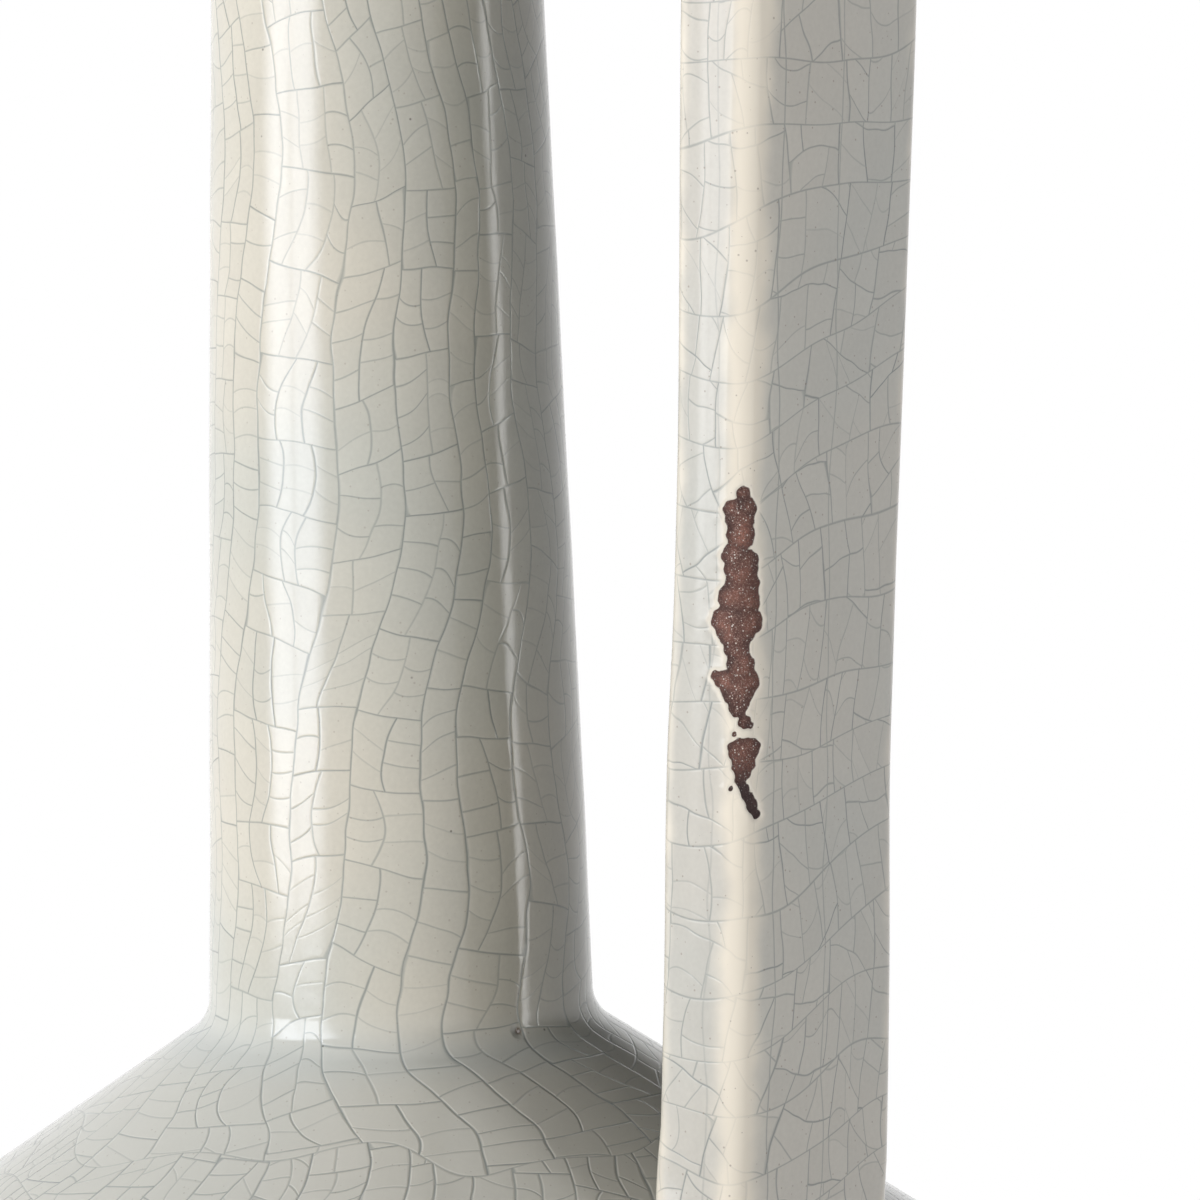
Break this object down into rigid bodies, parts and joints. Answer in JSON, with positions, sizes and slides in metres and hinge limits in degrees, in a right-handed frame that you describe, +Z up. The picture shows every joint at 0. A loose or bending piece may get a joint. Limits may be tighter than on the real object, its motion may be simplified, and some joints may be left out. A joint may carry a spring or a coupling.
{
  "type": "jug vase",
  "caption": "Tall-necked ceramic jug vase with a round belly, a sloping shoulder, a flared mouth and a long angular strap handle, coated in crackled pale celadon.",
  "frame": {"origin": "middle of the foot ring's underside, on the table", "axes": "+Z up along the axis of the vessel, +X towards the handle"},
  "size_m": [0.156, 0.156, 0.3174],
  "materials": {
    "stoneware": "bare iron-rich stoneware, matt and sandy",
    "slip": "dried slip of the same clay, matt",
    "celadon": "glossy pale grey-green celadon with fine grey crackle, cream where it is thin",
    "liner": "glossy pale lining glaze"
  },
  "bodies": {
    "root": {"foot_ring": "stoneware", "foot_slip_seam": "slip", "lower_body": "stoneware", "belly_slip_seam": "slip", "shoulder": "stoneware", "neck_slip_seam": "slip", "neck": "stoneware", "neck_base_coil": "stoneware", "handle_strap": "stoneware", "lower_handle_slip_seam": "slip", "upper_handle_slip_seam": "slip", "handle_glaze": "celadon", "lower_body_glaze": "celadon", "shoulder_glaze": "celadon", "neck_glaze": "celadon", "liner_glaze": "liner"}
  },
  "joints": []
}
